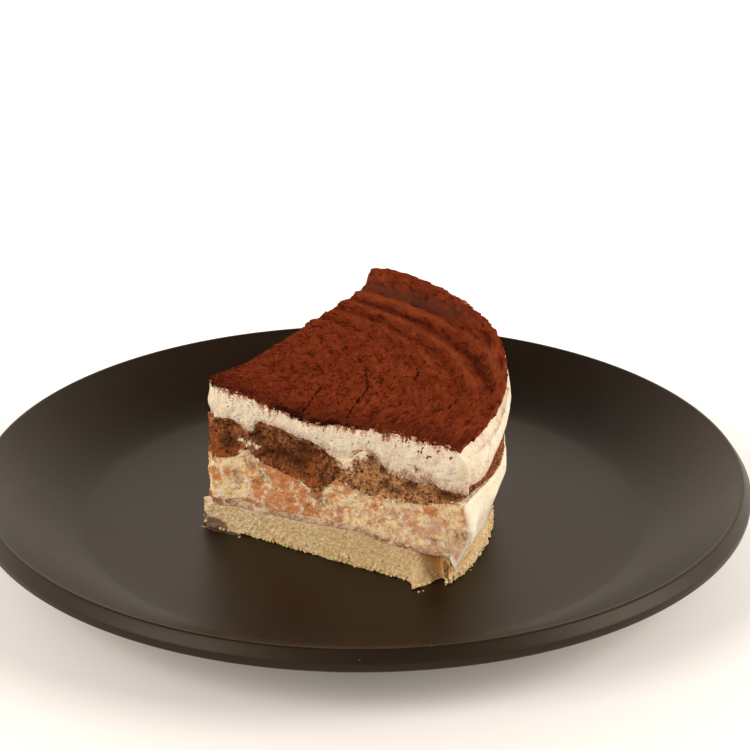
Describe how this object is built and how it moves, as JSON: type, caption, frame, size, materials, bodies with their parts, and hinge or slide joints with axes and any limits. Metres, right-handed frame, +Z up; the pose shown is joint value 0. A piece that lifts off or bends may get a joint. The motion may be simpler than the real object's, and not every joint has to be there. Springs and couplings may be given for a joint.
{
  "type": "tiramisu slice",
  "caption": "Wedge of layered coffee and cream sponge cake with a cocoa-dusted top, served on a round coupe plate with a foot ring.",
  "frame": {"origin": "centre of the plate, on the plane its foot ring stands on", "axes": "+Z up; the slice's tip points to -X, its front cut face looks towards -Y and its back cut face towards +Y, and the cake's outer rim is on the +X side"},
  "size_m": [0.203, 0.203, 0.0498],
  "materials": {
    "plate": "satin dark glaze",
    "base_sponge": "open pale crumb",
    "coffee_seam": "moist, matte",
    "stained_cream": "soft, satin",
    "coffee_sponge": "moist crumb",
    "rim_cream": "soft, satin",
    "upper_cream": "soft, satin",
    "cocoa": "dry powder"
  },
  "bodies": {
    "root": {"plate": "plate", "base_sponge": "base_sponge", "coffee_seam": "coffee_seam", "stained_cream": "stained_cream", "coffee_sponge": "coffee_sponge", "rim_cream": "rim_cream", "upper_cream": "upper_cream", "cocoa": "cocoa"}
  },
  "joints": []
}
